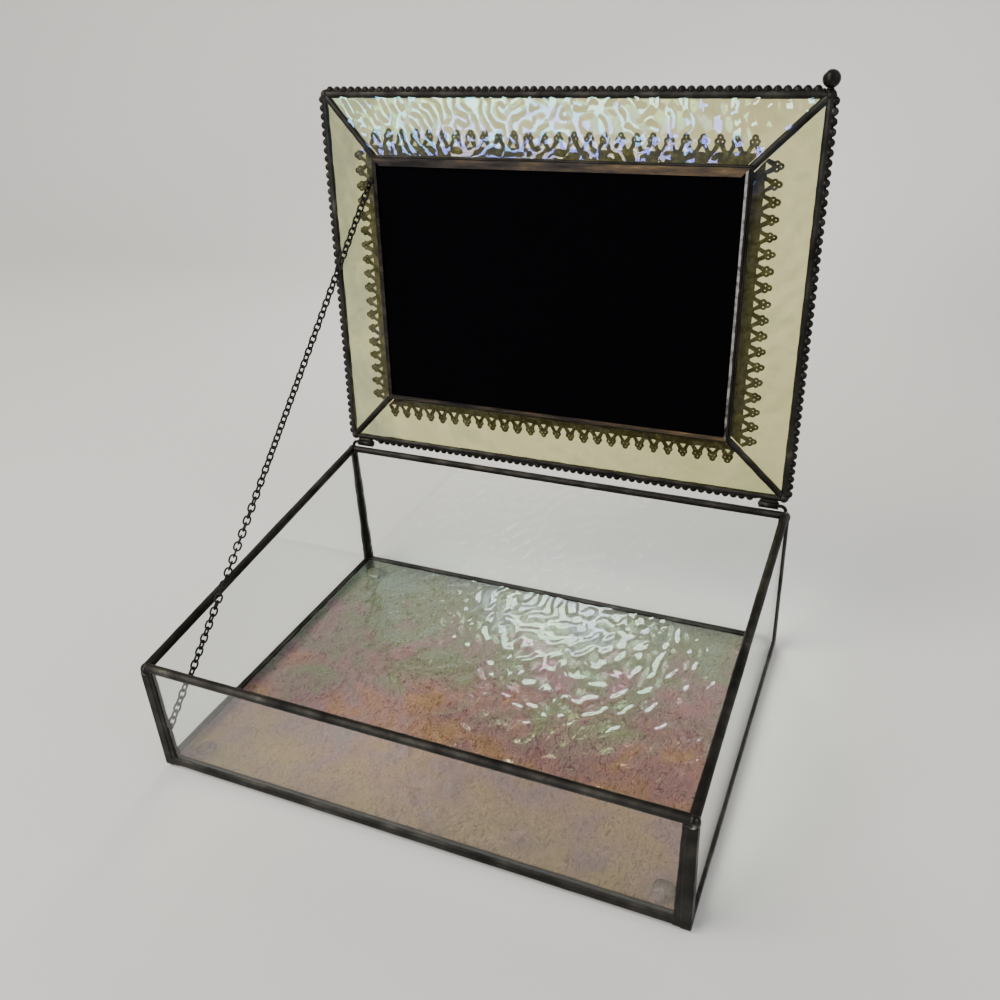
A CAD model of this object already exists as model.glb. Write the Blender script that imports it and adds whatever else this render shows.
import math
import random

import bpy
from mathutils import Matrix, Vector, noise


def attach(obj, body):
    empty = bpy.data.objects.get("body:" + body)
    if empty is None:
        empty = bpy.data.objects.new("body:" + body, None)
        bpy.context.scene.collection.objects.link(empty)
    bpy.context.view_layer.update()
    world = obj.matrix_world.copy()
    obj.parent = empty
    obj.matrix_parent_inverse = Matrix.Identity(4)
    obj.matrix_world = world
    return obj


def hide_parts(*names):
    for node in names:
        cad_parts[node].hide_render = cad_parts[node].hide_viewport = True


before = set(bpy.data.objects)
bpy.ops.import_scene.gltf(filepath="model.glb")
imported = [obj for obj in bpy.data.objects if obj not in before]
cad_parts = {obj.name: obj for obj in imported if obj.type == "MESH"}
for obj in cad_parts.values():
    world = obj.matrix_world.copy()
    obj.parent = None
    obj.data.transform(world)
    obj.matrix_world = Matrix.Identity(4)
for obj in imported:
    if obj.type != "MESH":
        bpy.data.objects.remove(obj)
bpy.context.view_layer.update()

# ---- Camera ----
# Hand height in front of the box and to the right of it, looking down on the
# open lid, with the small roll of a hand-held shot.
VIEW_TURN, VIEW_DOWN, VIEW_ROLL = -0.434384, 0.507867, -0.055040
VIEW_PLACE, LENS_LONG, SENSOR_WIDE = (0.14159, -0.28300, 0.27326), 34.826, 36
look = Vector((
    math.sin(VIEW_TURN) * math.cos(VIEW_DOWN),
    math.cos(VIEW_TURN) * math.cos(VIEW_DOWN),
    -math.sin(VIEW_DOWN),
))
level = look.cross(Vector((0, 0, 1))).normalized()
up = level.cross(look)
right = level * math.cos(VIEW_ROLL) + up * math.sin(VIEW_ROLL)
up = up * math.cos(VIEW_ROLL) - level * math.sin(VIEW_ROLL)
lens = bpy.data.cameras.new("camera")
lens.sensor_width = SENSOR_WIDE
lens.lens = LENS_LONG
lens.clip_start = 0.01
camera = bpy.data.objects.new("camera", lens)
bpy.context.scene.collection.objects.link(camera)
turned_to = Matrix((right, up, -look)).transposed().to_4x4()
camera.matrix_world = Matrix.Translation(VIEW_PLACE) @ turned_to
bpy.context.scene.camera = camera


# ---- Floor and studio light ----
# A pale matt table runs up into a pale wall. A wide soft key comes from above on
# the left and a weak fill from the right, and two small lights, one in front and
# one behind, are there for the rippled glass to break into flecks.
FLOOR_REACH, WALL_BASE, WALL_BEND, WALL_TOP, TABLE_HALF = 3.0, 0.55, 0.25, 3.0, 4
BEND_STEPS, BEND_STEP = 18, 5
ROOM_COLOUR, ROOM_LIGHT = "#E9EDF2", 0.55
SRGB_KNEE, SRGB_SLOPE, SRGB_LIFT, SRGB_POWER = 0.04045, 12.92, 0.055, 2.4


def linear(code):
    """An sRGB hex colour as linear red, green, blue, 1."""
    parts = [int(code[i:i + 2], 16) / 255 for i in (1, 3, 5)]
    return [
        c / SRGB_SLOPE if c <= SRGB_KNEE else ((c + SRGB_LIFT) / (1 + SRGB_LIFT)) ** SRGB_POWER
        for c in parts
    ] + [1]


def add(tree, kind, inputs=None, stops=None, **settings):
    """A node with its settings, its colour stops and its inputs, plain or linked."""
    made = tree.nodes.new(kind)
    for name, value in settings.items():
        setattr(made, name, value)
    if stops:
        bands = made.color_ramp.elements
        while len(bands) < len(stops):
            bands.new(1.0)
        for band, (place, code) in zip(bands, stops):
            band.position, band.color = place, linear(code)
    for name, value in (inputs or {}).items():
        if isinstance(value, bpy.types.NodeSocket):
            tree.links.new(value, made.inputs[name])
        else:
            made.inputs[name].default_value = value
    return made


def finish_material(name, **values):
    """A new material, its node tree and its Principled shader with these values."""
    made = bpy.data.materials.new(name)
    made.use_nodes = True
    tree = made.node_tree
    shader = tree.nodes["Principled BSDF"]
    for key, value in values.items():
        socket = shader.inputs[key.replace("_", " ")]
        socket.default_value = linear(value) if isinstance(value, str) else value
    return made, tree, shader


def mesh_object(name, points, faces, material):
    """A smooth mesh at the origin, its points in metres."""
    mesh = bpy.data.meshes.new(name)
    mesh.from_pydata([tuple(p) for p in points], [], faces)
    mesh.materials.append(material)
    mesh.shade_smooth()
    mesh.update()
    made = bpy.data.objects.new(name, mesh)
    bpy.context.scene.collection.objects.link(made)
    return made


table_finish = finish_material("pale_table", Base_Color="#DEDBD6", Roughness=0.75)[0]
profile = [(-FLOOR_REACH, 0.0), (WALL_BASE, 0.0)]
profile += [
    (WALL_BASE + WALL_BEND * math.sin(a), WALL_BEND - WALL_BEND * math.cos(a))
    for a in [math.radians(BEND_STEP * i) for i in range(1, BEND_STEPS + 1)]
]
profile += [(WALL_BASE + WALL_BEND, WALL_TOP)]
points = [Vector((x, y, z)) for y, z in profile for x in (-TABLE_HALF, TABLE_HALF)]
faces = [(2 * i, 2 * i + 1, 2 * i + 3, 2 * i + 2) for i in range(len(profile) - 1)]
table = mesh_object("table", points, faces, table_finish)

world = bpy.data.worlds.new("room")
bpy.context.scene.world = world
world.use_nodes = True
room = world.node_tree.nodes["Background"].inputs
room["Color"].default_value = linear(ROOM_COLOUR)
room["Strength"].default_value = ROOM_LIGHT


def soft_light(name, place, target, size, power, colour):
    """A rectangular light of this size and power, aimed from its place at a target."""
    lamp = bpy.data.lights.new(name, "AREA")
    lamp.shape, lamp.size, lamp.size_y = "RECTANGLE", size[0], size[1]
    lamp.energy = power
    lamp.color = linear(colour)[:3]
    made = bpy.data.objects.new(name, lamp)
    bpy.context.scene.collection.objects.link(made)
    made.location = place
    aim = Vector(target) - Vector(place)
    made.rotation_euler = aim.to_track_quat("-Z", "Y").to_euler()


soft_light("key_light", (-0.9, -0.7, 1.5), (0, 0, 0.08), (0.9, 0.9), 22, "#FFF6EA")
soft_light("fill_light", (1.4, -0.5, 0.9), (0, 0, 0.1), (1.0, 1.0), 8, "#EEF3FF")
soft_light("window_light", (-0.6, -1.25, 0.62), (0, 0.08, 0.2), (0.5, 0.25), 11, "#F4F9FF")
soft_light("back_light", (-0.19, 0.62, 0.42), (0.02, 0.03, 0), (0.15, 0.1), 1.4, "#FFFFFF")


# ---- Box walls ----
# Four sheets of clear float glass, the sides cut to the slope of the rim. They
# stand on edge, held only by the solder seams round their edges.
def let_light_in(tree, shader, tint):
    """Lamps shine through this glass, tinted, so what it covers isn't left dark."""
    out = tree.nodes["Material Output"]
    path = add(tree, "ShaderNodeLightPath")
    clear = add(tree, "ShaderNodeBsdfTransparent", {"Color": linear(tint)})
    mix = add(tree, "ShaderNodeMixShader", {0: path.outputs["Is Shadow Ray"]})
    tree.links.new(shader.outputs[0], mix.inputs[1])
    tree.links.new(clear.outputs[0], mix.inputs[2])
    tree.links.new(mix.outputs[0], out.inputs["Surface"])


float_glass, tree, shader = finish_material(
    "clear_float_glass", Base_Color="#F4F8F6", Roughness=0.02, IOR=1.5,
    Specular_IOR_Level=0.3, Transmission_Weight=1.0,
)
let_light_in(tree, shader, "#EDF3F0")


def dress(node, material):
    """A CAD node shown as it is, with its finish."""
    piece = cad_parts[node]
    piece.data.materials.clear()
    piece.data.materials.append(material)
    return piece


for side in ("front", "back", "left", "right"):
    dress(side + "_glass", float_glass)


# ---- Rippled bottom ----
# A sheet of clear water glass, its upper face rolled into shallow cells, with
# an iridescent film fired onto it. It lies inside the walls on the base seams.
MM = 0.001

# shares of a wave's length: the shortest and the longest that are picked, how far
# a crest bends and over what distance, and the length of the fine ripple on top
SHORTEST, LONGEST, BEND, BEND_OVER, FINE_LONG = 0.75, 1.35, 0.25, 2.2, 0.35
FINE_HIGH = 0.3


def waves(seed, length, drawn=1.0, count=26):
    """A random rippled surface: waves of about this length, drawn out along Y."""
    pick = random.Random(seed)
    parts = []
    for _ in range(count):
        turn = pick.uniform(0, math.tau)
        long = length * pick.uniform(SHORTEST, LONGEST)
        parts.append((
            math.tau / long * math.cos(turn), math.tau / long * math.sin(turn) / drawn,
            pick.uniform(0, math.tau),
        ))
    scale = 1 / math.sqrt(count / 2)

    def height(x, y):
        bend = BEND * length * noise.noise(Vector((x, y, seed)) / (BEND_OVER * length))
        wave = scale * sum(math.sin(a * (x + bend) + b * (y - bend) + c) for a, b, c in parts)
        return wave + FINE_HIGH * noise.noise(Vector((x, y, -seed)) / (FINE_LONG * length))

    return height


def closed_sheet(top, bottom, columns, rows):
    """Points and faces of a closed slab from its two faces' grids of points."""
    points = top + bottom
    n = len(top)
    w = columns + 1
    faces = []
    for j in range(rows):
        for i in range(columns):
            a = j * w + i
            faces.append((a, a + 1, a + w + 1, a + w))
            faces.append((n + a, n + a + w, n + a + w + 1, n + a + 1))
    rim = list(range(columns))
    rim += [j * w + columns for j in range(rows)]
    rim += [rows * w + i for i in range(columns, 0, -1)]
    rim += [j * w for j in range(rows, 0, -1)]
    for k, a in enumerate(rim):
        b = rim[(k + 1) % len(rim)]
        faces.append((b, a, n + a, n + b))
    return points, faces


def grain(tree, where, size, **inputs):
    """Noise over these coordinates, in grains of this many millimetres."""
    made = add(tree, "ShaderNodeTexNoise", {"Vector": where, "Scale": 1 / (size * MM), **inputs})
    return made.outputs["Fac"]


def ranged(tree, value, start, end, low, high):
    """A value taken from start..end to low..high, and held there beyond both ends."""
    made = add(tree, "ShaderNodeMapRange", {
        "Value": value, "From Min": start, "From Max": end, "To Min": low, "To Max": high})
    return made.outputs[0]


def plus(tree, first, second):
    return add(tree, "ShaderNodeMath", {0: first, 1: second}, operation="ADD").outputs[0]


def ramp(tree, value, stops):
    return add(tree, "ShaderNodeValToRGB", {"Fac": value}, stops=stops).outputs["Color"]


FILM_FLECKS, FILM_SHIFT = 0.5, 0.25


def iridescent_glass(name, roughness, mottle, fleck):
    """Glass with a film: its material, tree, shader and coordinates, and two values
    from 0 to 1, one that drifts in soft clouds and one that also changes from fleck
    to fleck. The clouds' and the flecks' sizes are in millimetres."""
    made, tree, shader = finish_material(
        name, Roughness=roughness, IOR=1.6, Transmission_Weight=1.0, Specular_IOR_Level=0.9)
    where = add(tree, "ShaderNodeTexCoord").outputs["Object"]
    clouds = grain(tree, where, mottle, Detail=3.0, Roughness=0.55, Distortion=0.6)
    flecks = grain(tree, where, fleck, Detail=1.0)
    film = add(tree, "ShaderNodeMath", {0: flecks, 1: FILM_FLECKS, 2: clouds},
               operation="MULTIPLY_ADD")
    film = add(tree, "ShaderNodeMath", {0: film.outputs[0], 1: FILM_SHIFT},
               operation="SUBTRACT")
    return made, tree, shader, where, clouds, film.outputs[0]


GLASS_W, GLASS_D, GLASS_LOW, GLASS_TOP = 203.9, 151.29, 2.1, 5.1
RIPPLE, RIPPLE_LONG, RIPPLE_DRAWN = 0.15, 6.5, 1.7
FILM_REACH, FILM_DRIFT = 0.075, 0.25
LINE_SIZE, LINE_TURN = (3.2, 7, 5), 0.35
bottom_film, tree, shader, where, clouds, film = iridescent_glass(
    "iridescent_water_glass", 0.05, 17, 5)
axes = add(tree, "ShaderNodeSeparateXYZ", {"Vector": where}).outputs
depth = ranged(tree, axes["Y"], -FILM_REACH, FILM_REACH, -FILM_DRIFT, FILM_DRIFT)
body = ramp(tree, plus(tree, clouds, depth), [
    (0.18, "#D2BD96"), (0.34, "#C9B09F"), (0.44, "#C3A8B2"), (0.54, "#B8AEB0"),
    (0.64, "#B0BCA9"), (0.8, "#B3C2BB")])
# the rolled cells gather light into fine lines that run with the sheet
along = add(tree, "ShaderNodeMapping", {
    "Vector": where, "Rotation": (0, 0, LINE_TURN),
    "Scale": [1 / (size * MM) for size in LINE_SIZE]})
cells = add(tree, "ShaderNodeTexNoise", {
    "Vector": along.outputs[0], "Scale": 1.0, "Detail": 2.5, "Distortion": 1.3})
lines = ramp(tree, cells.outputs["Fac"], [
    (0.38, "#E9E7E4"), (0.46, "#FFFFFF"), (0.5, "#A59B93"), (0.54, "#FFFFFF"),
    (0.62, "#E4E2DF")])
lined = add(tree, "ShaderNodeVectorMath", {0: body, 1: lines}, operation="MULTIPLY")
tint = ramp(tree, plus(tree, film, depth), [
    (0.14, "#FFDFA0"), (0.3, "#FF9CCF"), (0.4, "#FFC8EE"), (0.48, "#FFFFFF"),
    (0.58, "#A2FFB4"), (0.7, "#E6FFEC"), (0.84, "#B8DFFF")])
tree.links.new(lined.outputs[0], shader.inputs["Base Color"])
tree.links.new(tint, shader.inputs["Specular Tint"])
let_light_in(tree, shader, "#DDD6CE")

columns, rows = 252, 187
ripple = waves(3, RIPPLE_LONG, drawn=RIPPLE_DRAWN)
top, bottom = [], []
for j in range(rows + 1):
    y = -GLASS_D / 2 + GLASS_D * j / rows
    for i in range(columns + 1):
        x = -GLASS_W / 2 + GLASS_W * i / columns
        lift = math.tanh(ripple(x, y))
        top.append(Vector((x, y, GLASS_TOP - RIPPLE + RIPPLE * lift)) * MM)
        bottom.append(Vector((x, y, GLASS_LOW)) * MM)
points, faces = closed_sheet(top, bottom, columns, rows)
bottom_glass = mesh_object("rippled_bottom", points, faces, bottom_film)
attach(bottom_glass, "box")
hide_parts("bottom_glass")


# ---- Solder seams of the box ----
# Copper foil wraps each glass edge, and tin solder is run over it by hand and
# blackened with patina: round beads on the rim, flat laps at the corners.
def patinated(name, size, stops, detail=4.0, rough=0.5, **values):
    """Blackened metal whose colour drifts over these stops, in grains of this many
    millimetres: its material, its tree, its shader and the drifting value."""
    made, tree, shader = finish_material(name, **values)
    where = add(tree, "ShaderNodeTexCoord").outputs["Object"]
    wear = grain(tree, where, size, Detail=detail, Roughness=rough)
    tree.links.new(ramp(tree, wear, stops), shader.inputs["Base Color"])
    return made, tree, shader, wear


solder, tree, shader, stain = patinated(
    "black_patina_solder", 11,
    [(0.3, "#171614"), (0.5, "#292724"), (0.64, "#373530"), (0.8, "#5E5B53")],
    detail=6.0, rough=0.62, Metallic=0.9, Roughness=0.4)
tree.links.new(ranged(tree, stain, 0.35, 0.7, 0.6, 0.4), shader.inputs["Roughness"])


def rings(ring_list):
    """Points and faces of a closed tube through these rings, capped at its ends."""
    n = len(ring_list[0])
    points = [p for ring in ring_list for p in ring]
    faces = []
    for j in range(len(ring_list) - 1):
        for i in range(n):
            a, b = j * n + i, j * n + (i + 1) % n
            faces.append((a, b, b + n, a + n))
    for ring, start, flip in ((ring_list[0], 0, True), (ring_list[-1], len(points) - n, False)):
        middle = len(points)
        points.append(sum(ring, Vector()) / n)
        for i in range(n):
            a, b = start + i, start + (i + 1) % n
            faces.append((b, a, middle) if flip else (a, b, middle))
    return points, faces


# a bead swells over this run and is lumpy at this size, with a seed of its own; the
# swell is lowered, so that no bead grows past its bare radius
SWELL_RUN, LUMP_SIZE, SEED_STEP = 16, 2.6, 3.1
SWELL_DROP, LUMP_SHARE, LUMP_OUT = 1.4, 0.4, 1.5


def around(sides):
    """This many even angles round a full turn."""
    return [math.tau * i / sides for i in range(sides)]


def swept(start, end, reach, step=0.9, sides=20, seed=0, lumps=0.05, upward=(0, 0, 1)):
    """A hand-run seam from start to end: reach(angle, share) is its bare radius."""
    start, end = Vector(start), Vector(end)
    run = (end - start).length
    ahead = (end - start).normalized()
    across = ahead.cross(Vector(upward)).normalized()
    over = across.cross(ahead)
    count = max(2, int(run / step))
    ring_list = []
    for j in range(count + 1):
        share = j / count
        centre = start + ahead * run * share
        swell = noise.noise(Vector((run * share / SWELL_RUN, seed * SEED_STEP, 0)))
        ring = []
        for angle in around(sides):
            out = across * math.cos(angle) + over * math.sin(angle)
            fine = noise.noise((centre + out * LUMP_OUT) / LUMP_SIZE + Vector((seed, 0, 0)))
            grown = 1 + lumps * (swell - SWELL_DROP + LUMP_SHARE * fine)
            ring.append(centre + out * reach(angle, share) * grown)
        ring_list.append(ring)
    return rings(ring_list)


TIP_SHARE = 0.02


def round_ends(radius, run):
    """A round bead that closes like a drop at both ends."""
    def reach(angle, share):
        near = min(share, 1 - share) * run
        return radius * math.sqrt(max(TIP_SHARE, 1 - max(0, 1 - near / radius) ** 2))
    return reach


HALF_W, HALF_D = 103.55, 77.243
RIM_FRONT, RIM_BACK = 48.6, 67.6
SEAM_LOW, BASE_MID = 1.5, 3.6
RIM_R, BACK_RIM_R, CORNER_R, BASE_R = 1.9, 1.7, 2.6, 2.4
# a lap's width at its foot, how much narrower it is at the back and at its top,
# how thick it lies on the pane, and how far the corner stands out of the walls
LAP, LAP_BACK, LAP_TAPER, LAP_OUT, PROUD = 4.5, 0.8, 1.3, 1.65, 1.95
RAGGED, RAGGED_WAVES, TORN, TORN_WAVES = 0.25, 9, 0.3, 31
SEAM_STOP, KNOB_BELOW, KNOB_ABOVE = 1.6, 3.4, 1.9
FLOOR_LAP, FLOOR_OVER, FLOOR_FROM = 2.5, 0.4, 0.42


def in_box(name, points, faces, material, slot, *nodes):
    """A dressed piece of the box, its points in millimetres."""
    made = mesh_object(name, [p * MM for p in points], faces, material)
    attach(made, "box")
    if nodes:
        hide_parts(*nodes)
    return made


joint_solder = patinated(
    "rubbed_solder_joint", 2.2, [(0.4, "#1C1A18"), (0.58, "#34322E"), (0.72, "#8B8B85")],
    detail=3.0, Metallic=0.9, Roughness=0.3)[0]

corners = {
    "front_left": (-1, -1), "front_right": (1, -1), "back_left": (-1, 1), "back_right": (1, 1),
}
rims = {
    "front": ((-1, -1), (1, -1)), "back": ((-1, 1), (1, 1)),
    "left": ((-1, -1), (-1, 1)), "right": ((1, -1), (1, 1)),
}
for k, (side, ends) in enumerate(rims.items()):
    places = [
        Vector((sx * HALF_W, sy * HALF_D, RIM_FRONT if sy < 0 else RIM_BACK)) for sx, sy in ends
    ]
    radius = RIM_R if side != "back" else BACK_RIM_R
    points, faces = swept(*places, lambda angle, share: radius, seed=k + 1)
    in_box("rim_bead_" + side, points, faces, solder, "patinated_solder", "rim_seam_" + side)


def lap_section(sx, sy):
    """A filled corner with a lap of solder along each of the two panes it joins."""
    def reach(angle, share):
        # angle 0 is -X and a quarter turn is +Y for a seam that runs straight up
        x, y = sx * math.cos(angle), -sy * math.sin(angle)
        ragged = RAGGED * noise.noise(Vector((share * RAGGED_WAVES, sx, sy)))
        ragged += TORN * (1 - share) * noise.noise(Vector((share * TORN_WAVES, sx, sy)))
        grown = (LAP if sy < 0 else LAP - LAP_BACK) - LAP_TAPER * share + ragged
        size = min(CORNER_R, PROUD / max(abs(x), abs(y)))
        for along, side in ((x, y), (y, x)):
            if along > 0:
                flat = LAP_OUT / max(1e-6, abs(side))
                size = max(size, min(flat, grown / along))
        return size
    return reach


for k, (corner, (sx, sy)) in enumerate(corners.items()):
    high = RIM_FRONT if sy < 0 else RIM_BACK
    low = Vector((sx * HALF_W, sy * HALF_D, SEAM_LOW))
    points, faces = swept(
        low, low + Vector((0, 0, high - SEAM_STOP - SEAM_LOW)), lap_section(sx, sy),
        sides=72, seed=20 + k, lumps=0.035, upward=(0, 1, 0),
    )
    # a round knob of solder where the rim beads meet
    knob_points, knob_faces = swept(
        low + Vector((0, 0, high - KNOB_BELOW - SEAM_LOW)),
        low + Vector((0, 0, high + KNOB_ABOVE - SEAM_LOW)),
        round_ends(CORNER_R, KNOB_BELOW + KNOB_ABOVE), step=0.35, sides=28, seed=30 + k,
        lumps=0.09, upward=(0, 1, 0),
    )
    in_box("corner_lap_" + corner, points, faces, solder, "patinated_solder",
           "corner_seam_" + corner)
    in_box("corner_knob_" + corner, knob_points, knob_faces, joint_solder, "patinated_solder")


def base_reach(angle, share):
    """The bottom bead with its narrow lap on the floor of the box."""
    x, y = math.cos(angle), math.sin(angle)
    size = BASE_R
    if x > 0 and y > 0:
        strip = min((GLASS_TOP - BASE_MID + FLOOR_OVER) / y, FLOOR_LAP / x)
        if y / x > FLOOR_FROM:
            size = max(size, strip)
    if x < 0:
        size = min(size, PROUD / -x)
    if y < 0:
        size = min(size, (BASE_MID - SEAM_LOW) / -y)
    return size


for k, (side, ends) in enumerate(rims.items()):
    # the seam runs with the inside of the box on its left
    order = ends if side in ("front", "right") else ends[::-1]
    places = [Vector((sx * HALF_W, sy * HALF_D, BASE_MID)) for sx, sy in order]
    points, faces = swept(
        places[1], places[0], base_reach, sides=64, seed=40 + k, lumps=0.035,
    )
    in_box("base_bead_" + side, points, faces, solder, "patinated_solder", "base_seam_" + side)


# ---- Feet ----
# Four milky vinyl bumpers, domed below, stuck under the corners of the bottom.
def lathe(outline, sides, axes=Matrix()):
    """A closed solid turned about Z through this outline of (radius, height)."""
    return rings([
        [axes @ Vector((r * math.cos(a), r * math.sin(a), z)) for a in around(sides)]
        for r, z in outline
    ])


def together(*parts):
    """The points and faces of several parts as one piece's."""
    points, faces = [], []
    for more_points, more_faces in parts:
        n = len(points)
        points += more_points
        faces += [tuple(v + n for v in f) for f in more_faces]
    return points, faces


vinyl = finish_material("milky_vinyl", Base_Color="#FAFBF6", Roughness=0.35)[0]
FOOT_R, FOOT_TOP, FOOT_HEART = 4.0, 2.1, 0.15
FOOT_X, FOOT_Y = 93.35, 67.04
outline = [(FOOT_HEART, 0.0), (2.6, 0.0), (3.2, 0.12), (3.7, 0.5), (3.95, 1.0),
           (FOOT_R, 1.5), (FOOT_R, FOOT_TOP), (FOOT_HEART, FOOT_TOP)]
bumpers = [
    lathe(outline, 40, Matrix.Translation((sx * FOOT_X, sy * FOOT_Y, 0)))
    for sx, sy in corners.values()
]
in_box("bumper_feet", *together(*bumpers), vinyl, "clear_vinyl", "feet")


# ---- Lid panels ----
# Four mitred panels of rippled glass, faintly creamy green, their iridescent
# face turned into the box. They slope down from the lid's edge to the frame.
LID_TURN, AXIS_Y, AXIS_Z = 86.1115, 78.639, 70.996
LID_HALF_W, LID_HALF_H, LID_MID = 102.2, 76.8, 80.25
EDGE_Z, PANEL_W, DISH, PANEL_T = -0.9, 24.0, 3.9, 2.4
MITRE_GAP, PANEL_SHORT, LID_STEP, LID_ROWS = 0.5, 0.25, 0.85, 28
LID_RIPPLE, LID_RIPPLE_LONG = 0.24, 6.8
tilt = math.atan(DISH / PANEL_W)
lid_axes = Matrix.Translation((0, AXIS_Y, AXIS_Z)) @ Matrix.Rotation(
    math.radians(LID_TURN), 4, "X")
lid_sides = {}
for side, x, y, turn in (
    ("back", 0, LID_MID - LID_HALF_H, 0), ("front", 0, LID_MID + LID_HALF_H, 180),
    ("left", -LID_HALF_W, LID_MID, -90), ("right", LID_HALF_W, LID_MID, 90),
):
    lid_sides[side] = lid_axes @ Matrix.Translation((x, y, EDGE_Z)) @ Matrix.Rotation(
        math.radians(turn), 4, "Z")

lid_film, tree, shader, where, clouds, film = iridescent_glass(
    "iridescent_cream_glass", 0.05, 22, 5)
axes = add(tree, "ShaderNodeSeparateXYZ", {"Vector": where}).outputs
left_end = ranged(tree, axes["X"], -0.09, -0.07, -0.34, 0.0)
body = ramp(tree, plus(tree, clouds, left_end), [
    (0.1, "#B3B890"), (0.22, "#C2C698"), (0.34, "#CDD098"), (0.45, "#DCD8A2"),
    (0.6, "#D1D19A"), (0.8, "#D5C690")])
near_edge = ranged(tree, axes["Z"], 0.19, 0.232, -0.6, 0.18)
tint = ramp(tree, plus(tree, film, near_edge), [
    (0.0, "#CFC79E"), (0.12, "#B4A8C4"), (0.22, "#7A88FF"), (0.32, "#8FA0FF"),
    (0.42, "#6FC4FF"), (0.52, "#9CF0F4"), (0.62, "#C4FFE6"), (0.76, "#EAFFF4"),
    (0.88, "#F6FFD2")])
tree.links.new(body, shader.inputs["Base Color"])
tree.links.new(tint, shader.inputs["Specular Tint"])
let_light_in(tree, shader, "#CFCFAE")


def in_lid(name, points, faces, material, slot, *nodes, axes=lid_axes):
    """A dressed piece of the lid, its points in millimetres along these axes."""
    made = mesh_object(name, [(axes @ p) * MM for p in points], faces, material)
    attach(made, "lid")
    if nodes:
        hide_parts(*nodes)
    return made


for k, (side, axes) in enumerate(lid_sides.items()):
    half = (LID_HALF_W if side in ("front", "back") else LID_HALF_H) - MITRE_GAP
    deep = PANEL_W / math.cos(tilt) - PANEL_SHORT
    columns = int(half * 2 / LID_STEP)
    ripple = waves(11 + k, LID_RIPPLE_LONG)
    sloped = axes @ Matrix.Rotation(tilt, 4, "X")
    top, bottom = [], []
    for j in range(LID_ROWS + 1):
        y = deep * j / LID_ROWS
        reach = half - y * math.cos(tilt)
        for i in range(columns + 1):
            x = -reach + 2 * reach * i / columns
            lift = math.tanh(ripple(x, y))
            top.append(Vector((x, y, PANEL_T / 2 - LID_RIPPLE + LID_RIPPLE * lift)))
            bottom.append(Vector((x, y, -PANEL_T / 2)))
    points, faces = closed_sheet(top, bottom, columns, LID_ROWS)
    in_lid("lid_panel_" + side, points, faces, lid_film, "iridescent_lid_glass",
           "lid_glass_" + side, axes=sloped)


# ---- Solder seams of the lid ----
# The same black patina solder: a bead round the lid's edge, a line on each
# mitre, and a thin fillet where the panels meet the picture channel.
EDGE_R, EDGE_OUT, MITRE_R = 1.75, 0.1, 1.6
LID_KNOB_R, LID_KNOB_HALF, FILLET_R, FILLET_OUT = 2.2, 2.1, 0.8, 0.3
FRAME_HALF_W, FRAME_HALF_H = 78.2, 52.8
for k, (side, ends) in enumerate(rims.items()):
    # the lid's front edge is the far one from its hinge, and the bead lies a
    # little outside the glass's own edge
    places = [
        Vector((sx * (LID_HALF_W + EDGE_OUT), LID_MID - sy * (LID_HALF_H + EDGE_OUT), EDGE_Z))
        for sx, sy in ends
    ]
    points, faces = swept(*places, lambda angle, share: EDGE_R - EDGE_OUT, seed=50 + k)
    in_lid("edge_bead_" + side, points, faces, solder, "patinated_solder", "edge_seam_" + side)
for k, (corner, (sx, sy)) in enumerate(corners.items()):
    outer = Vector((sx * LID_HALF_W, LID_MID - sy * LID_HALF_H, EDGE_Z))
    inner = Vector((sx * FRAME_HALF_W, LID_MID - sy * FRAME_HALF_H, EDGE_Z + DISH))
    points, faces = swept(outer, inner, lambda angle, share: MITRE_R, seed=60 + k, lumps=0.07)
    in_lid("mitre_line_" + corner, points, faces, solder, "patinated_solder",
           "mitre_seam_" + corner)
    points, faces = swept(
        outer - Vector((0, 0, LID_KNOB_HALF)), outer + Vector((0, 0, LID_KNOB_HALF)),
        round_ends(LID_KNOB_R, 2 * LID_KNOB_HALF), step=0.3, sides=28, seed=70 + k,
        lumps=0.07, upward=(0, 1, 0))
    in_lid("lid_knob_" + corner, points, faces, solder, "patinated_solder")
for k, (side, ends) in enumerate(rims.items()):
    places = [
        Vector((sx * (FRAME_HALF_W + FILLET_OUT), LID_MID - sy * (FRAME_HALF_H + FILLET_OUT),
                EDGE_Z + DISH + PANEL_T / 2))
        for sx, sy in ends
    ]
    points, faces = swept(
        *places, lambda angle, share: FILLET_R, seed=80 + k, sides=12, lumps=0.1)
    in_lid("frame_fillet_" + side, points, faces, solder, "patinated_solder")


# ---- Picture channel ----
# Brass channel bent to a U and mitred round the picture, its patina rubbed
# through along the lips. The lid panels are soldered to its outer walls.
channel, tree, shader = finish_material("aged_brass_channel", Metallic=0.85, Roughness=0.34)
where = add(tree, "ShaderNodeTexCoord").outputs["Object"]
drawn = add(tree, "ShaderNodeMapping", {"Vector": where, "Scale": (60, 400, 400)})
wear = add(tree, "ShaderNodeTexNoise", {
    "Vector": drawn.outputs[0], "Scale": 1.0, "Detail": 5.0, "Roughness": 0.6})
axes = add(tree, "ShaderNodeSeparateXYZ", {"Vector": where}).outputs
rubbed = ranged(tree, axes["X"], -0.07, 0.06, -0.16, 0.1)
tone = ramp(tree, plus(tree, wear.outputs["Fac"], rubbed), [
    (0.3, "#1F1C1B"), (0.48, "#39322D"), (0.66, "#5E4D39"), (0.82, "#8C7858")])
tree.links.new(tone, shader.inputs["Base Color"])
for side in ("front", "back", "left"):
    dress("picture_channel_" + side, channel)
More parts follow.
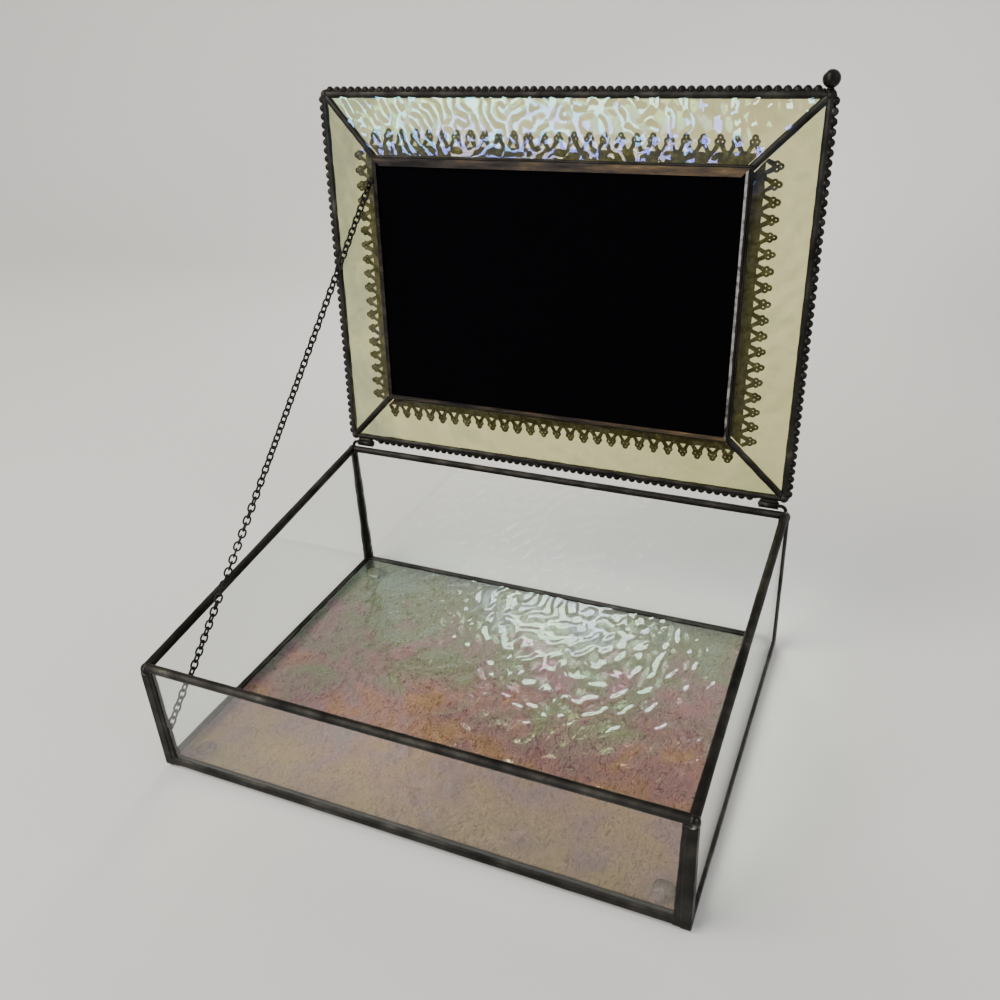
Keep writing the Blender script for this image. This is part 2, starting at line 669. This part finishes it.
# the right length has lost its patina, but for its outer edge and its lower end
bare_channel, tree, shader = finish_material("rubbed_channel", Metallic=0.9, Roughness=0.4)
where = add(tree, "ShaderNodeTexCoord").outputs["Object"]
wear = grain(tree, where, 3, Detail=4.0)
axes = add(tree, "ShaderNodeSeparateXYZ", {"Vector": where}).outputs
lip_edge = ranged(tree, axes["X"], 0.0774, 0.0778, 0.12, -0.3)
lower_end = ranged(tree, axes["Z"], 0.116, 0.124, -0.14, 0.0)
kept = plus(tree, lip_edge, lower_end)
tone = ramp(tree, plus(tree, wear, kept), [
    (0.36, "#26221F"), (0.5, "#6A6763"), (0.62, "#9C9A96")])
tree.links.new(tone, shader.inputs["Base Color"])
dress("picture_channel_right", bare_channel)


# ---- Picture glass and velvet board ----
# A clear sheet covers the picture's side, and a card faced with black velvet
# closes the back of the channel, on the side that the open lid shows.
dress("picture_glass", float_glass)
velvet, tree, shader = finish_material(
    "black_velvet", Roughness=0.95, Specular_IOR_Level=0.03, Sheen_Weight=0.012,
    Sheen_Roughness=0.4, Base_Color="#020204",
)
PILE, PILE_HIGH = 0.5, 0.1
where = add(tree, "ShaderNodeTexCoord").outputs["Object"]
pile = grain(tree, where, PILE, Detail=2.0)
bump = add(tree, "ShaderNodeBump", {
    "Height": pile, "Strength": 0.4, "Distance": PILE_HIGH * MM})
tree.links.new(bump.outputs["Normal"], shader.inputs["Normal"])
dress("backing_board", velvet)


# ---- Scalloped edging and lace ----
# Strip is pressed from thin metal, blackened, and tacked on by the solder: a row
# of domed scallops round the lid's edge, and trefoil lace round the frame.
def row_of(name, motif, material, count, step, turn=(0, 0, 0), wind=(0, 0, 0), start=(0, 0, 0),
           shake=0.0, seed=1):
    """Geometry Nodes: copies of a small mesh along a line, every other one turned.
    The whole row can also start turned, and wind further with every copy."""
    tree = bpy.data.node_groups.new(name + "_row", "GeometryNodeTree")
    kinds = (
        ("Geometry", "NodeSocketGeometry", None), ("Count", "NodeSocketInt", count),
        ("Step", "NodeSocketVector", step), ("Turn", "NodeSocketVector", turn),
        ("Wind", "NodeSocketVector", wind), ("Start", "NodeSocketVector", start),
        ("Shake", "NodeSocketFloat", shake), ("Seed", "NodeSocketInt", seed),
    )
    for label, kind, _ in kinds:
        tree.interface.new_socket(label, in_out="INPUT", socket_type=kind)
    tree.interface.new_socket("Geometry", in_out="OUTPUT", socket_type="NodeSocketGeometry")
    given = add(tree, "NodeGroupInput").outputs
    line = add(tree, "GeometryNodeMeshLine", {"Count": given["Count"], "Offset": given["Step"]})
    index = add(tree, "GeometryNodeInputIndex")
    odd = add(tree, "ShaderNodeMath", {0: index.outputs[0], 1: 2.0}, operation="MODULO")
    twist = add(tree, "ShaderNodeVectorMath", {0: given["Turn"], "Scale": odd.outputs[0]},
                operation="SCALE")
    wound = add(tree, "ShaderNodeVectorMath", {0: given["Wind"], "Scale": index.outputs[0]},
                operation="SCALE")
    begun = add(tree, "ShaderNodeVectorMath", {0: wound.outputs[0], 1: given["Start"]},
                operation="ADD")
    aimed = add(tree, "ShaderNodeVectorMath", {0: twist.outputs[0], 1: begun.outputs[0]},
                operation="ADD")
    low = add(tree, "ShaderNodeMath", {0: given["Shake"], 1: -1.0}, operation="MULTIPLY")
    jitter = add(tree, "FunctionNodeRandomValue", {
        "Min": low.outputs[0], "Max": given["Shake"], "Seed": given["Seed"]},
        data_type="FLOAT_VECTOR")
    spin = add(tree, "ShaderNodeVectorMath", {0: aimed.outputs[0], 1: jitter.outputs[0]},
               operation="ADD")
    copies = add(tree, "GeometryNodeInstanceOnPoints", {
        "Points": line.outputs[0], "Instance": given["Geometry"], "Rotation": spin.outputs[0]})
    real = add(tree, "GeometryNodeRealizeInstances", {"Geometry": copies.outputs[0]})
    paint = add(tree, "GeometryNodeSetMaterial", {
        "Geometry": real.outputs[0], "Material": material})
    out = add(tree, "NodeGroupOutput")
    tree.links.new(paint.outputs[0], out.inputs[0])

    host = mesh_object(name + "_motif", *motif, material)
    rows_of = host.modifiers.new("row", "NODES")
    rows_of.node_group = tree
    for item in tree.interface.items_tree:
        value = {label: v for label, _, v in kinds}.get(item.name)
        if item.in_out == "INPUT" and value is not None:
            rows_of[item.identifier] = value
    ready = host.evaluated_get(bpy.context.evaluated_depsgraph_get())
    mesh = bpy.data.meshes.new_from_object(ready)
    bpy.data.objects.remove(host)
    points = [v.co.copy() for v in mesh.vertices]
    faces = [tuple(f.vertices) for f in mesh.polygons]
    bpy.data.meshes.remove(mesh)
    return points, faces


SCALLOP_PITCH, SCALLOP_R, SCALLOP_HALF, SCALLOP_OUT = 3.4, 1.6, 1.35, 1.66
SCALLOP_SHAKE, BAND_R, BAND_IN = 0.05, 0.8, 0.3
edging_finish = patinated(
    "black_patina_edging", 2.5, [(0.3, "#151412"), (0.55, "#252320"), (0.75, "#403E38")],
    Metallic=0.85, Roughness=0.45)[0]
dome = [(0.02, SCALLOP_HALF), (0.8, 1.22), (1.32, 0.85), (SCALLOP_R, 0.25)]
scallop = lathe([(r, -z) for r, z in dome] + dome[::-1], 12)
# the front strip stops short of the lift ball's neck, the back one at the hinge tubes
for side, low, high in (
    ("front", -100.3, LID_HALF_W), ("back", -91.3, 91.3),
    ("left", -LID_HALF_H, LID_HALF_H), ("right", -LID_HALF_H, LID_HALF_H),
):
    count = int((high - low - 2 * SCALLOP_R) // SCALLOP_PITCH)
    first = (low + high) / 2 - count * SCALLOP_PITCH / 2
    points, faces = row_of(
        "scallops_" + side, scallop, edging_finish, count + 1, (SCALLOP_PITCH, 0, 0),
        shake=SCALLOP_SHAKE, seed=len(side))
    points = [p + Vector((first, -SCALLOP_OUT, 0)) for p in points]
    band = swept(
        (low, BAND_IN - SCALLOP_OUT, 0), (high, BAND_IN - SCALLOP_OUT, 0),
        lambda angle, share: BAND_R, sides=12, seed=90 + len(side))
    in_lid("scallops_" + side, *together((points, faces), band), edging_finish,
           "patinated_edging", "edging_" + side, axes=lid_sides[side])

lace_finish = patinated(
    "dark_pressed_lace", 2.4,
    [(0.3, "#24231A"), (0.48, "#3D3B29"), (0.6, "#575339"), (0.78, "#857D59")],
    detail=6.0, rough=0.7, Metallic=0.6, Roughness=0.55)[0]


def bar(start, end, wide, thick):
    """A pressed bar with a rounded top, raised towards -Z by its thickness."""
    start, end = Vector(start), Vector(end)
    ahead = (end - start).normalized()
    across = Vector((-ahead.y, ahead.x, 0))
    shape = [(-wide, 0), (-wide, 0.5), (-0.5 * wide, 1), (0.5 * wide, 1), (wide, 0.5), (wide, 0)]
    return rings([
        [p + across * u - Vector((0, 0, v * thick)) for u, v in reversed(shape)]
        for p in (start, end)
    ])


def turned(outline, sides, axes=Matrix()):
    """A ring turned about Z from a closed outline of (radius, height)."""
    points = [
        axes @ Vector((r * math.cos(a), r * math.sin(a), z))
        for r, z in outline for a in around(sides)
    ]
    faces = []
    for j in range(len(outline)):
        low, high = j * sides, (j + 1) % len(outline) * sides
        for i in range(sides):
            k = (i + 1) % sides
            faces.append((low + i, low + k, high + k, high + i))
    return points, faces


# the plates themselves, then what the die raised on their outer face: a rib
# along each leg, a ring round each lobe, a beaded line and a cord on the band
LACE_PITCH, LACE_BAND, LACE_RISE, LACE_T = 6.25, 4.6, 4.2, 0.4
RELIEF, ROOT_IN, LOBE_OUT = 0.22, 0.05, 1.0
LEG_ROOT, LEG_FROM, LEG_TIP, LEG_STOP, LEG_HALF = 2.3, 0.1, 0.85, 1.4, 0.42
BEAD_X, BEAD_Y, CORD_Y, CORD_HALF, CORD_SHORT, LACE_OVER = 2.1, 1.4, 3.0, 0.5, 1, 0.4
lobes = []
for turn in (-90, 30, 150):
    x = LOBE_OUT * math.cos(math.radians(turn))
    y = -LACE_RISE + LOBE_OUT * math.sin(math.radians(turn))
    lobes.append(turned(
        [(0.34, ROOT_IN), (0.45, -RELIEF), (0.95, -RELIEF), (1.2, ROOT_IN)], 14,
        Matrix.Translation((x, y, 0))))
beads = [
    lathe([(0.22, -RELIEF), (0.4, -0.1), (0.45, ROOT_IN)], 8, Matrix.Translation((x, BEAD_Y, 0)))
    for x in (-BEAD_X, 0, BEAD_X)
]
legs = [
    bar((sx * LEG_ROOT, LEG_FROM, ROOT_IN), (sx * LEG_TIP, LEG_STOP - LACE_RISE, ROOT_IN),
        LEG_HALF, RELIEF + ROOT_IN)
    for sx in (-1, 1)
]
motif = together(*legs, *beads, *lobes)
for side, frame_half in (
    ("front", FRAME_HALF_W), ("back", FRAME_HALF_W), ("left", FRAME_HALF_H),
    ("right", FRAME_HALF_H),
):
    dress("filigree_" + side, lace_finish)
    # the outermost motifs are cut by the mitres, so they carry no relief
    count = 2 * round((frame_half + LACE_OVER) / LACE_PITCH) - 2
    points, faces = row_of("lace_" + side, motif, lace_finish, count, (LACE_PITCH, 0, 0))
    points = [p + Vector((-(count - 1) * LACE_PITCH / 2, 0, 0)) for p in points]
    long = frame_half - CORD_SHORT
    cord = bar((-long, CORD_Y, ROOT_IN), (long, CORD_Y, ROOT_IN), CORD_HALF, RELIEF + ROOT_IN)
    root = PANEL_W / math.cos(tilt) - FILLET_OUT - LACE_BAND
    axes = lid_sides[side] @ Matrix.Rotation(tilt, 4, "X") @ Matrix.Translation(
        (0, root, -PANEL_T / 2 - LACE_T))
    in_lid("lace_relief_" + side, *together((points, faces), cord), lace_finish,
           "patinated_lace", axes=axes)


# ---- Hinges ----
# Short brass tubes are soldered along the lid's back edge, and a wire through
# each turns down into the back corner seam, all blackened together.
hinge_metal = patinated(
    "black_patina_brass", 3, [(0.3, "#141311"), (0.55, "#24221E"), (0.8, "#3F3B33")],
    Metallic=0.9, Roughness=0.42)[0]
TUBE_R, TUBE_BORE, TUBE_LOW, TUBE_HIGH, TUBE_BREAK = 1.6, 0.83, 92.5, 100.5, 0.15
BLUNT, BLUNT_SHARE = 8, 0.05
# the solder above and below a tube: how far short of its ends, its place across
# and off the lid's plane, its radius and its seed
TUBE_FILLETS = ((0.3, 1.7, 0.25, 1.2, 100), (0.4, 1.8, -1.1, 0.85, 104))


def tube_fillet(low, high, y, z, radius, seed):
    """Solder along a tube, blunt at both ends."""
    def reach(angle, share):
        return radius * math.sqrt(max(BLUNT_SHARE, 1 - (2 * share - 1) ** BLUNT))
    return swept((low, y, z), (high, y, z), reach, step=0.5, seed=seed, lumps=0.1)


for name, sx in (("left", -1), ("right", 1)):
    low, high = sorted((sx * TUBE_LOW, sx * TUBE_HIGH))
    tube = turned(
        [(TUBE_BORE, low), (TUBE_R - TUBE_BREAK, low), (TUBE_R, low + TUBE_BREAK),
         (TUBE_R, high - TUBE_BREAK), (TUBE_R - TUBE_BREAK, high), (TUBE_BORE, high)],
        32, Matrix.Rotation(math.pi / 2, 4, "Y"))
    fillets = [
        tube_fillet(low + short, high - short, y, z, radius, seed + sx)
        for short, y, z, radius, seed in TUBE_FILLETS
    ]
    in_lid("hinge_tube_" + name + "_dressed", *together(tube, *fillets),
           hinge_metal, "patinated_brass", "hinge_tube_" + name)
    dress("hinge_pin_" + name, hinge_metal)


# ---- Lift ball ----
# A small turned ball on a short neck, soldered to the free corner of the lid
# that a right hand reaches first.
BALL_R, BALL_OUT, NECK_R, BALL_X = 3.08, 5.1, 1.2, 101.8
BALL_FROM, BALL_STEP, BALL_STEPS = -84, 6, 27
outline = [(0.02, -BALL_R)]
outline += [(BALL_R * math.cos(a), BALL_R * math.sin(a))
            for a in [math.radians(BALL_FROM + BALL_STEP * i) for i in range(BALL_STEPS)]]
outline += [(NECK_R + 0.25, BALL_R - 0.05), (NECK_R, BALL_R + 0.4), (NECK_R, BALL_OUT - 1.9),
            (NECK_R + 0.5, BALL_OUT - 1.4), (NECK_R + 1.0, BALL_OUT - 0.9)]
ball_axes = Matrix.Translation((BALL_X, LID_MID + LID_HALF_H + BALL_OUT, EDGE_Z))
ball_axes = ball_axes @ Matrix.Rotation(math.pi / 2, 4, "X")
in_lid("lift_ball_turned", *lathe(outline, 36, ball_axes), hinge_metal, "patinated_ball",
       "lift_ball")


# ---- Chain ----
# Fine cable chain of oval brass links, each a quarter turn from the next,
# blackened with the rest. It stops the lid just past upright.
chain_metal = patinated(
    "black_patina_chain", 2, [(0.3, "#0E0D0C"), (0.55, "#181613"), (0.78, "#332F28")],
    detail=3.0, Metallic=0.5, Roughness=0.6)[0]
CHAIN_LOW = Vector((-99.9, -72.743, 23.0))
CHAIN_HIGH = Vector((-79.8, 79.698, 192.754))
LINKS, STRETCHES, WIRE_R, LINK_HALF, LINK_HOOK = 14, 6, 0.41, 1.3, 0.85
# degrees that the chain has wound at each stretch's end: a quarter turn in all,
# most of it in the lower half
WINDING = (0, 14, 46, 84, 90, 90, 90)
run = CHAIN_HIGH - CHAIN_LOW
pitch = run.length / (LINKS * STRETCHES)
rise, lean = math.atan2(run.z, run.y), math.asin(run.x / run.length)
chain_axes = Matrix.Translation(CHAIN_LOW) @ Matrix.Rotation(rise, 4, "X") @ Matrix.Rotation(
    -lean, 4, "Z")


def ring_of_wire(half, long, wire, sides=7, bends=8):
    """An oval link in the XY plane, its near end's wire at the origin, along Y."""
    straight = long - 2 * half
    path = []
    for i in range(bends + 1):
        a = math.pi * i / bends
        path.append((Vector((half * math.cos(a), half + straight + half * math.sin(a), 0)), a))
    for i in range(bends + 1):
        a = math.pi + math.pi * i / bends
        path.append((Vector((half * math.cos(a), half + half * math.sin(a), 0)), a))
    points, faces = [], []
    for centre, a in path:
        out = Vector((math.cos(a), math.sin(a), 0))
        for b in around(sides):
            points.append(centre + out * wire * math.cos(b) + Vector((0, 0, wire * math.sin(b))))
    n = len(path)
    for j in range(n):
        for i in range(sides):
            a, b = j * sides + i, j * sides + (i + 1) % sides
            c, d = (j + 1) % n * sides + (i + 1) % sides, (j + 1) % n * sides + i
            faces.append((a, d, c, b))
    return points, faces


link = ring_of_wire(LINK_HALF, pitch + LINK_HOOK, WIRE_R)
edge_on = Matrix.Rotation(math.pi / 2, 4, "Y")
link = ([edge_on @ p for p in link[0]], link[1])
for number in range(STRETCHES):
    wind = math.radians(WINDING[number + 1] - WINDING[number]) / LINKS
    points, faces = row_of(
        "chain_links_%d" % (number + 1), link, chain_metal, LINKS, (0, pitch, 0),
        turn=(0, -math.pi / 2, 0), wind=(0, wind, 0),
        start=(0, math.radians(WINDING[number]), 0))
    start = chain_axes @ Matrix.Translation((0, number * LINKS * pitch - LINK_HOOK, 0))
    piece = mesh_object("chain_links_%d" % (number + 1),
                        [(start @ p) * MM for p in points], faces, chain_metal)
    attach(piece, "chain_%d" % (number + 1))
    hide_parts("chain_%d" % (number + 1))

# an end ring in a dab of solder at each anchor; the low one is also tacked to the
# corner seam
TACK_LONG, TACK_R, DAB_IN = 3, 1.1, 0.2
for name, place, body, flat, ball in (
    ("box", -(pitch + LINK_HOOK), "box", True, 1.5),
    ("lid", run.length - LINK_HOOK, "lid", False, 1.7),
):
    start = chain_axes @ Matrix.Translation((0, place, 0))
    points, faces = ring_of_wire(LINK_HALF, pitch + LINK_HOOK, WIRE_R, sides=10, bends=12)
    if not flat:
        points = [edge_on @ p for p in points]
    points = [start @ p for p in points]
    middle = start @ Vector((0, -DAB_IN if flat else pitch + LINK_HOOK, 0))
    dab = swept(middle - Vector((0, 0, ball)), middle + Vector((0, 0, ball)),
                round_ends(ball, 2 * ball), step=0.2, sides=24, seed=110 + ball, lumps=0.08,
                upward=(0, 1, 0))
    parts = [(points, faces), dab]
    if flat:
        toward = Vector((-1, -1, 0)).normalized()
        parts.append(swept(
            middle, middle + toward * TACK_LONG, lambda angle, share: TACK_R, step=0.3,
            seed=115, lumps=0.1))
    points, faces = together(*parts)
    piece = mesh_object("chain_end_" + name, [p * MM for p in points], faces, solder)
    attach(piece, body)
    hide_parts("chain_anchor_" + name)
